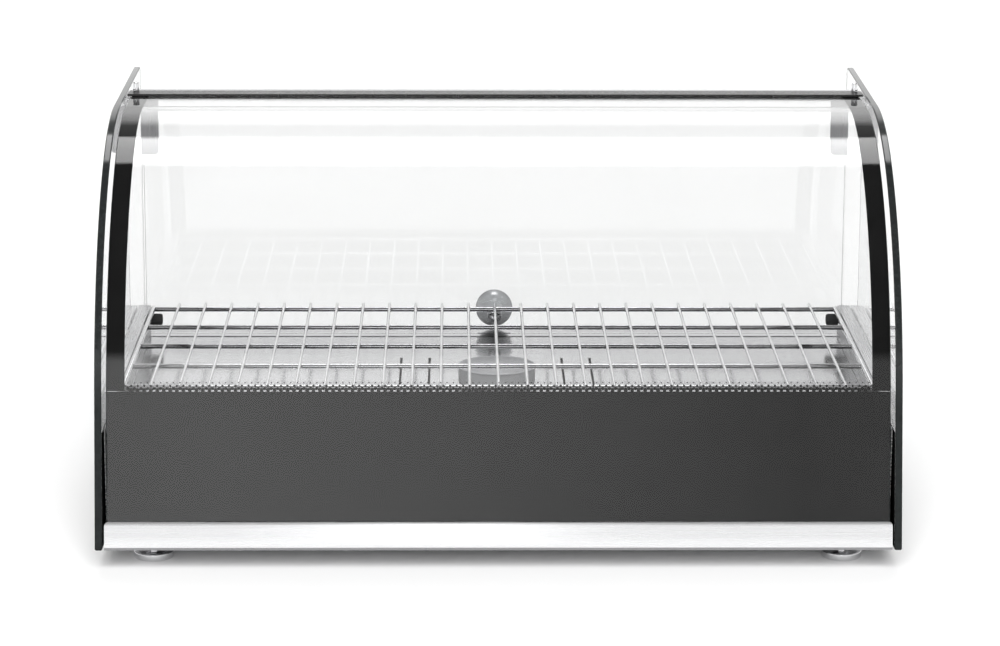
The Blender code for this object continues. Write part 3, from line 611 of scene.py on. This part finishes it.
def door_knob():
    """Ball knob on a short neck behind the door, and the head of its screw in front."""
    low, high, middle = box_of("door_knob")
    radius = (high.x - low.x) / 2 / MM
    centre = (high.y - low.y) / MM - radius
    neck = 5.0
    first = -math.degrees(math.acos(neck / radius))
    ball_foot = centre + radius * math.sin(math.radians(first))
    profile = [(0, 0), (neck - 0.4, 0), (neck, 0.4), (neck, ball_foot - 0.5)]
    profile += arc(0, centre, radius, first + 2, 90, 40)[:-1] + [(0, centre + radius)]
    bm = bmesh.new()
    add_lathe(bm, profile, (0, low.y, middle.z), (0, 1, 0), 72)
    piece(bm, "door_knob_ball", "knob", "door", ("door_knob",))
    low, _, middle = box_of("knob_screw")
    head = [(0, 0.9), (1.1, 0.9), (1.1, 0), (2.4, 0.02), (3.6, 0.15), (4.6, 0.5), (5.3, 1.0), (5.5, 1.4)]
    shank = [(5.5, 2.2), (2.2, 2.2), (2.2, 6.5), (0, 6.5)]
    bm = bmesh.new()
    add_lathe(bm, head + shank, (0, low.y, middle.z), (0, 1, 0), 40)
    piece(bm, "knob_screw_head", "chrome", "door", ("knob_screw",))


def hinge(name):
    """A hinge pin of the door, and the bush that it turns in."""
    bm = bmesh.new()
    add_pin(bm, f"hinge_pin_{name}", 24, 0.3)
    piece(bm, f"hinge_pin_{name}_rod", "chrome", "door", (f"hinge_pin_{name}",))
    low, _, middle = box_of(f"hinge_bush_{name}")
    ring = [(2.4, 0.2), (2.6, 0), (3.6, 0), (3.8, 0.2), (3.8, 2.4), (3.6, 2.6), (2.6, 2.6), (2.4, 2.4)]
    bm = bmesh.new()
    add_lathe(bm, ring, (low.x, middle.y, middle.z), (1, 0, 0), 36)
    piece(bm, f"hinge_bush_{name}_ring", "plastic", "case", (f"hinge_bush_{name}",))


def door():
    """The rear door, with what rides on it."""
    # the door pane's cut edges take the glass edge material, whose near-black colour is painted shade
    refined("door_glass", "glass", "door", CHAMFER, 1, "edge", 1, "door_pane")
    for name, side in (("left", -1), ("right", 1)):
        door_clip(name, side)
    door_knob()
    for name in ("left", "right"):
        hinge(name)


# ---------------------------------------------------------------- steel

def front_trim():
    """Brushed strip along the foot of the glass, with rounded top corners and a lip under the base."""
    low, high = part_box("front_trim")
    inset = 0.6 * MM
    sheet = 1 * MM
    corner = 3 * MM
    bend = 3.2 * MM
    half = high.x
    rows = []
    lip_front = front_line(inset, low.z) + bend * 1.3
    for i in range(5):
        y = high.y + (lip_front - high.y) * i / 4
        rows.append((Vector((y, low.z)), Vector((y, low.z + sheet)), half))
    pivot = Vector((front_line(inset + bend, low.z + bend), low.z + bend))
    swing = 0.9 * (math.pi - LEAN)
    for i in range(1, 8):
        t = -math.pi / 2 - swing * i / 8
        out = Vector((math.cos(t), math.sin(t)))
        rows.append((pivot + out * bend, pivot + out * (bend - sheet * 0.98), half))
    normal = Vector((math.sin(LEAN), -math.cos(LEAN)))
    heights = [low.z + bend * 1.15, (low.z + high.z) / 2, high.z - corner - 2 * MM]
    heights += [high.z - corner * (1 - math.sin(math.radians(90 * i / 8))) for i in range(9)]
    for z in heights:
        drop = max(z - (high.z - corner), 0)
        shrink = corner - math.sqrt(max(corner ** 2 - drop ** 2, 0))
        p = Vector((front_line(inset, z), z))
        rows.append((p, p + normal * sheet, half - shrink))
    bm = bmesh.new()
    columns = []
    for face in (0, 1):
        left = [bm.verts.new((-row[2], *row[face])) for row in rows]
        right = [bm.verts.new((row[2], *row[face])) for row in rows]
        quad_strip(bm, left, right, False)
        columns.append((left, right))
    for k in (0, 1):
        quad_strip(bm, columns[0][k], columns[1][k], False)
    for k in (0, -1):
        bm.faces.new((columns[0][0][k], columns[0][1][k], columns[1][1][k], columns[1][0][k]))
    bmesh.ops.recalc_face_normals(bm, faces=bm.faces)
    ease(bm, 50, 0.25 * MM, 2)
    # faces of the bottom bend below this height take the darker clip steel: painted shade for the grey line
    # under the strip
    shaded = low.z + bend * 0.9
    for face in bm.faces:
        if face.calc_center_median().z < shaded:
            face.material_index = 1
    piece(bm, "front_trim_strip", "trim", "case", ("front_trim",), ("clip",))


def rack():
    """Plated rack: rails across, a rod at each end, wires front to rear, and a weld at each crossing."""
    low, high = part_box("wire_rack")
    rail_radius, rod_radius, wire_radius = 1.8 * MM, 2 * MM, 1.1 * MM
    rails, rail_pitch = 5, 61.4 * MM
    rail_front = low.y + 7.6 * MM
    rail_ys = [rail_front + i * rail_pitch for i in range(rails)]
    rail_z = low.z + rod_radius
    rod_x = high.x - rod_radius
    rod_reach = 3 * MM
    wires, wire_pitch = 25, 20 * MM
    wire_z = high.z - wire_radius
    weld = (1.5 * MM, 1.6 * MM, 0.9 * MM)
    bm = bmesh.new()
    for y in rail_ys:
        add_wire(bm, (-rod_x, y, rail_z), (rod_x, y, rail_z), rail_radius, 24, 0.3)
    for x in (-rod_x, rod_x):
        start, end = (x, rail_ys[0] - rod_reach, rail_z), (x, rail_ys[-1] + rod_reach, rail_z)
        add_wire(bm, start, end, rod_radius, 24, 0.5)
    for i in range(wires):
        x = (i - (wires - 1) / 2) * wire_pitch
        add_wire(bm, (x, low.y, wire_z), (x, high.y, wire_z), wire_radius, 20, 0.8)
        for y in rail_ys:
            spot = Matrix.Translation((x, y, wire_z - weld[2])) @ Matrix.Diagonal((*weld, 1))
            bmesh.ops.create_uvsphere(bm, u_segments=12, v_segments=8, radius=1, matrix=spot)
    piece(bm, "wire_rack_welded", "wire", "rack", ("wire_rack",))
    for side in ("left", "right"):
        for end in ("front", "rear"):
            node = f"rack_peg_{side}_{end}"
            bm = bmesh.new()
            add_pin(bm, node, 32, 0.35)
            piece(bm, f"{node}_plug", "rubber", "case", (node,))


def water_cup():
    """Spun cup with a rolled rim."""
    low, high, middle = box_of("water_cup")
    r, h = (high.x - low.x) / 2 / MM, (high.z - low.z) / MM
    outside = [(0, 0), (r - 3.2, 0), (r - 2.0, 0.25), (r - 1.1, 0.9), (r - 0.7, 1.8), (r - 0.7, h - 1.6)]
    rim = arc(r - 0.75, h - 0.75, 0.75, -60, 180, 10)
    inside = [(r - 1.6, h - 1.6), (r - 1.6, 2.8), (r - 2.2, 1.8), (r - 3.4, 1.2), (0, 1.2)]
    bm = bmesh.new()
    add_lathe(bm, outside + rim + inside, (middle.x, middle.y, low.z), (0, 0, 1), 96)
    piece(bm, "water_cup_spun", "cup", "case", ("water_cup",))


def feet():
    """Turned feet: a round sole, a waist, and a threaded stem cut as grooves."""
    thread_foot, thread_top, pitch = 9.2, 28.6, 1.0
    for end in ("front", "rear"):
        for side in ("left", "right"):
            node = f"foot_{end}_{side}"
            low, high, middle = box_of(node)
            r = (high.x - low.x) / 2 / MM
            profile = [(0, 0), (r - 1.6, 0)] + arc(r - 1.2, 1.2, 1.2, -90, 0, 8) + [(r, 4.2)]
            profile += arc(r - 1.0, 4.3, 1.0, 0, 62, 6) + [(9.4, 6.6), (7.0, 7.4), (6.2, 8.0), (6.0, 9.0)]
            z = thread_foot
            while z < thread_top:
                profile += [(4.0, z), (3.65, z + pitch / 2)]
                z += pitch
            profile += [(3.8, 29.2), (3.2, 30), (0, 30)]
            bm = bmesh.new()
            add_lathe(bm, profile, (middle.x, middle.y, low.z), (0, 0, 1), 72)
            piece(bm, f"{node}_turned", "chrome", node, (node,))


def fasteners():
    """Dome-headed bolts in the glass ends, pins at the ends' top corners, and screws of the rear panel."""
    for name, side in (("left", -1), ("right", 1)):
        for end in ("front", "rear"):
            node = f"side_bolt_{name}_{end}"
            low, high, middle = box_of(node)
            tip = low.x if side > 0 else high.x
            length = (high.x - low.x) / MM
            head = length - 2.0
            bm = bmesh.new()
            profile = [(0, 0), (1.8, 0), (2.0, 0.3), (2.0, head), (4.8, head), (5.0, head + 0.2)]
            profile += arc(0, head - 5.25, 7.25, 46.5, 77, 10)
            profile += [(1.6, length - 0.1), (1.5, length - 1.1), (0, length - 1.2)]
            add_lathe(bm, profile, (tip, middle.y, middle.z), (side, 0, 0), 40)
            piece(bm, f"{node}_dome", "chrome", "case", (node,))
        node = f"top_screw_{name}"
        low, _, middle = box_of(node)
        bm = bmesh.new()
        profile = [(0, 0), (1.6, 0), (1.9, 0.4), (1.9, 11.2), (2.2, 11.25), (2.4, 11.5), (2.4, 16.8)]
        profile += [(2.2, 17.4), (1.6, 17.75), (0.9, 17.8), (0.8, 17.0), (0, 16.9)]
        add_lathe(bm, profile, (middle.x, middle.y, low.z), (0, 0, 1), 36)
        piece(bm, f"{node}_pin", "chrome", "case", (node,))
    for i in range(1, 5):
        node = f"rear_screw_{i}"
        low, _, middle = box_of(node)
        bm = bmesh.new()
        profile = [(0, 0), (2.8, 0), (3.0, 0.2), (2.9, 0.7), (2.4, 1.2), (1.7, 1.6), (1.0, 1.78)]
        profile += [(0.6, 1.8), (0.45, 1.0), (0, 1.0)]
        add_lathe(bm, profile, (middle.x, low.y, middle.z), (0, 1, 0), 32)
        piece(bm, f"{node}_head", "chrome", "case", (node,))


def sheets():
    """Folded and cut sheet: CAD shapes with their edges eased."""
    for node, finish in (("base_pan", "steel_x"), ("front_wall", "steel_x"), ("floor_plate", "floor"),
                         ("side_liner_left", "steel_y"), ("side_liner_right", "steel_y"),
                         ("door_stop_left", "steel_z"), ("door_stop_right", "steel_z"),
                         ("rear_panel", "steel_x"), ("top_bar", "steel_x"), ("heat_shield", "steel_x"),
                         ("clamp_bar", "paint")):
        refined(node, finish)
    for node, finish, width in (("glass_pad_left", "rubber", 0.3), ("glass_pad_right", "rubber", 0.3),
                                ("terminal_block", "pale", 0.6), ("thermostat_body", "pale", 0.8),
                                ("element_support_front", "pale", 0.5),
                                ("element_support_rear", "pale", 0.5), ("gland_nut", "plastic", 0.5)):
        refined(node, finish, "case", width * MM, 3, name=f"{node}_moulded")
    for node in ("heating_element", "sensor_bulb"):
        NODES[node].data.materials.clear()
        NODES[node].data.materials.append(M["sheath"])


# ---------------------------------------------------------------- controls on the rear panel

def thermostat():
    """Thermostat knob with a grip and a white line, and the scale with its ticks round it."""
    low, high, middle = box_of("thermostat_knob")
    body = (high.x - low.x) / 2 / MM
    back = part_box("thermostat_scale")[1].y + 0.4 * MM
    shaft = (low.y - back) / MM
    skirt = [(0, shaft), (2.6, shaft), (3.0, shaft + 0.4), (3.0, 0), (body - 0.4, 0), (body, 0.4)]
    skirt += [(body, 3.0), (body - 0.6, 3.9), (body - 2.0, 4.8), (body - 2.6, 5.0), (0, 5.0)]
    bm = bmesh.new()
    add_lathe(bm, skirt, (middle.x, back, middle.z), (0, 1, 0), 96)
    grip = bmesh.new()
    half_x, half_z = 4.8 * MM, 16.8 * MM
    top = (high.y - back) / MM
    power = 0.45                 # a rectangle with round corners, by powers of the cosine and sine
    corners = 48
    rows = []
    for lift, grow in ((4.6, 0.6), (5.4, 0.1), (8.0, 0), (top - 1.0, -0.25), (top - 0.3, -0.7), (top, -1.4)):
        row = []
        for i in range(corners):
            t = 2 * math.pi * i / corners
            x = (half_x + grow * MM) * math.copysign(abs(math.cos(t)) ** power, math.cos(t))
            z = (half_z + grow * MM) * math.copysign(abs(math.sin(t)) ** power, math.sin(t))
            row.append(grip.verts.new((middle.x + x, back + lift * MM, middle.z + z)))
        rows.append(row)
    for a, b in zip(rows, rows[1:]):
        quad_strip(grip, a, b, True)
    grip.faces.new(rows[0])
    grip.faces.new(rows[-1])
    bmesh.ops.recalc_face_normals(grip, faces=grip.faces)
    mesh = bpy.data.meshes.new("grip")
    grip.to_mesh(mesh)
    grip.free()
    bm.from_mesh(mesh)
    piece(bm, "thermostat_knob_moulded", "plastic", "thermostat_knob", ("thermostat_knob",))
    bm = bmesh.new()
    line_middle = (middle.x, high.y + 0.05 * MM, middle.z + 9 * MM)
    add_block(bm, line_middle, (1.2 * MM, 0.3 * MM, 11 * MM))
    ease(bm, 40, 0.1 * MM, 2)
    piece(bm, "thermostat_knob_line", "mark", "thermostat_knob")

    low, high, middle = box_of("thermostat_scale")
    r, thick, bore = (high.x - low.x) / 2 / MM, (high.y - low.y) / MM, 5.0
    ring = [(bore, 0), (r, 0), (r, thick - 0.2), (r - 0.2, thick), (bore, thick)]
    bm = bmesh.new()
    add_lathe(bm, ring, (middle.x, low.y, middle.z), (0, 1, 0), 96)
    piece(bm, "thermostat_scale_ring", "scale", "case", ("thermostat_scale",))
    bm = bmesh.new()
    ticks, sweep = 28, 270
    for i in range(ticks):
        angle = math.radians(90 - sweep * i / (ticks - 1))
        length, width = (4.2, 0.7) if i % 3 == 0 else (2.4, 0.45)
        reach = (r - 1.0 - length / 2) * MM
        spot = (middle.x + reach * math.cos(angle), high.y + 0.02 * MM, middle.z + reach * math.sin(angle))
        add_block(bm, spot, (length * MM, 0.08 * MM, width * MM), Matrix.Rotation(-angle, 4, "Y"))
    piece(bm, "thermostat_scale_ticks", "plastic", "case", smooth=False)


def pilot_lamp():
    """Chrome bezel and a domed red lens."""
    low, _, middle = box_of("lamp_bezel")
    place = (middle.x, low.y, middle.z)
    ring = [(5.2, 0), (7, 0), (7, 1.2), (6.8, 1.6), (6.3, 1.95), (5.8, 2), (5.4, 1.9), (5.2, 1.6)]
    bm = bmesh.new()
    add_lathe(bm, ring, place, (0, 1, 0), 64)
    piece(bm, "lamp_bezel_ring", "chrome", "case", ("lamp_bezel",))
    lens = [(0, -16), (4.0, -16), (4.2, -15.8), (4.2, 0), (4.8, 0), (4.8, 2.0)]
    lens += arc(0, 0.4, 4.95, 20, 88, 14) + [(0, 5.2)]
    bm = bmesh.new()
    add_lathe(bm, lens, place, (0, 1, 0), 64)
    piece(bm, "pilot_lamp_lens", "lens", "case", ("pilot_lamp",))


def cable_gland():
    """Gland with a ribbed, tapered cap."""
    middle = box_of("cable_gland")[2]
    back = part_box("lamp_bezel")[0].y
    profile = [(3.6, -9.5), (7.6, -9.5), (8.0, -9.1), (8.0, 0), (11.6, 0), (12, 0.4), (12, 4.6), (11.6, 5)]
    profile += [(9.5, 5), (9.4, 9), (8.9, 12), (8.0, 13.6), (6.2, 15.4), (5.5, 16), (4.0, 16), (3.6, 15.6)]
    bm = bmesh.new()
    add_lathe(bm, profile, (middle.x, back, middle.z), (0, 1, 0), 72)
    ribs, reach = 12, 9.5 * MM
    for i in range(ribs):
        angle = 2 * math.pi * i / ribs
        spot = (middle.x + reach * math.cos(angle), back + 8.2 * MM, middle.z + reach * math.sin(angle))
        add_block(bm, spot, (1.2 * MM, 6.2 * MM, 1.4 * MM), Matrix.Rotation(-angle, 4, "Y"))
    piece(bm, "cable_gland_moulded", "plastic", "case", ("cable_gland",))


def controls():
    """What the rear panel carries."""
    refined("switch_housing", "plastic", "case", 0.5 * MM, 3, name="switch_housing_moulded")
    refined("switch_rocker", "plastic", "switch_rocker", 0.6 * MM, 3, name="switch_rocker_moulded")
    thermostat()
    pilot_lamp()
    cable_gland()


# ---------------------------------------------------------------- studio

FLOOR_REACH = 12                 # metres from the middle to each side
FLOOR_SHADES = (0.80, 0.80, 0.80), (0.81, 0.81, 0.81)
SUN_STRENGTH = 5.1
SUN_SIZE = math.radians(46)
SUN_HEIGHT = math.radians(35)

# Brightness round the X axis, by degrees from the rear horizon over the top to the front horizon
ROUND = ((0, 1.03), (13, 1.03), (18, 1.3), (25, 1.6), (35, 1.55), (42, 0.4), (53, 0.35), (54.5, 5.4),
         (74, 5.4), (76, 0.10), (158, 0.10), (162, 1.6), (180, 1.7))
FRONT_SHARE = (0, 0), (150, 0), (160, 1), (180, 1)          # where the front's left and right differ
FRONT_TILT = (-0.2, 1.1), (-0.07, 1.25), (0.0, 1.0), (0.10, 0.5), (0.2, 0.6)
ASIDE_SHARE = (0, 0), (0.14, 0), (0.22, 1), (1, 1)          # by how far to the side: where walls begin
WALLS = (0, 1.03), (0.12, 1.03), (0.3, 0.3), (1, 0.3)       # their brightness, by height


def studio_floor():
    """White floor, with the faintest unevenness."""
    bm = bmesh.new()
    bmesh.ops.create_grid(bm, x_segments=8, y_segments=8, size=FLOOR_REACH)
    mesh = bpy.data.meshes.new("studio_floor")
    bm.to_mesh(mesh)
    bm.free()
    floor = bpy.data.objects.new("studio_floor", mesh)
    bpy.context.scene.collection.objects.link(floor)
    material, tree, shader = new_material("studio_floor")
    tree.links.new(shades(tree, noise(tree, 3, 2), *FLOOR_SHADES), shader.inputs["Base Color"])
    shader.inputs["Roughness"].default_value = 0.6
    shader.inputs["Specular IOR Level"].default_value = 0
    mesh.materials.append(material)


def studio_light():
    """A plain surround, bright behind, with a soft light overhead, dim above the camera; and a soft sun."""
    world = bpy.data.worlds.new("studio")
    bpy.context.scene.world = world
    world.use_nodes = True
    tree = world.node_tree
    background = tree.nodes["Background"]
    place = tree.nodes.new("ShaderNodeTexCoord")
    parts = tree.nodes.new("ShaderNodeSeparateXYZ")
    tree.links.new(place.outputs["Generated"], parts.inputs["Vector"])
    x, y, z = (parts.outputs[key] for key in "XYZ")

    def maths(operation, a, b):
        """A sum on two inputs, each a number or another node's output."""
        node = tree.nodes.new("ShaderNodeMath")
        node.operation = operation
        for socket, value in zip(node.inputs, (a, b)):
            if isinstance(value, (int, float)):
                socket.default_value = value
            else:
                tree.links.new(value, socket)
        return node.outputs[0]

    def ramp(value, stops, scale):
        """Straight lines between stops, each a value and a level of at most the scale."""
        low, high = stops[0][0], stops[-1][0]
        span = tree.nodes.new("ShaderNodeMapRange")
        span.inputs["From Min"].default_value = low
        span.inputs["From Max"].default_value = high
        tree.links.new(value, span.inputs["Value"])
        node = tree.nodes.new("ShaderNodeValToRGB")
        elements = node.color_ramp.elements
        while len(elements) < len(stops):
            elements.new(0.5)
        for element, (at, level) in zip(elements, stops):
            element.position = (at - low) / (high - low)
            element.color = (level / scale, level / scale, level / scale, 1)
        tree.links.new(span.outputs["Result"], node.inputs["Fac"])
        return maths("MULTIPLY", node.outputs["Color"], scale)

    turn = maths("MULTIPLY", maths("ARCTAN2", z, y), 180 / math.pi)
    tilted = maths("SUBTRACT", ramp(x, FRONT_TILT, 2), 1)
    share = maths("ADD", maths("MULTIPLY", ramp(turn, FRONT_SHARE, 1), tilted), 1)
    level = maths("MULTIPLY", ramp(turn, ROUND, 7), share)
    aside = ramp(maths("ABSOLUTE", x, 0), ASIDE_SHARE, 1)
    middle = maths("MULTIPLY", level, maths("SUBTRACT", 1, aside))
    walls = maths("MULTIPLY", aside, ramp(z, WALLS, 2))
    tree.links.new(maths("ADD", middle, walls), background.inputs["Strength"])
    background.inputs["Color"].default_value = (1, 1, 1, 1)

    key = bpy.data.lights.new("key_light", "SUN")
    key.energy = SUN_STRENGTH
    key.angle = SUN_SIZE
    lamp = bpy.data.objects.new("key_light", key)
    bpy.context.scene.collection.objects.link(lamp)
    lamp.rotation_euler = (math.pi / 2 - SUN_HEIGHT, 0, 0)
    lamp.visible_glossy = False
    lamp.visible_transmission = False


def camera():
    """Long lens, a little above the object and looking slightly down."""
    data = bpy.data.cameras.new("camera")
    data.lens = 124.34
    data.sensor_width = 36
    data.clip_end = 50
    obj = bpy.data.objects.new("camera", data)
    bpy.context.scene.collection.objects.link(obj)
    obj.location = (-0.030, -2.4569, 0.6985)
    yaw, down, roll = (math.radians(angle) for angle in (-0.762, 12.925, 0.18))
    aim = Matrix.Rotation(yaw, 4, "Z") @ Matrix.Rotation(math.pi / 2 - down, 4, "X")
    obj.rotation_euler = (aim @ Matrix.Rotation(roll, 4, "Z")).to_euler()
    bpy.context.scene.camera = obj
    bpy.context.scene.view_settings.view_transform = "Standard"


front_glass()
front_print()
side_panels()
door()
front_trim()
rack()
water_cup()
feet()
fasteners()
sheets()
controls()
studio_floor()
studio_light()
camera()
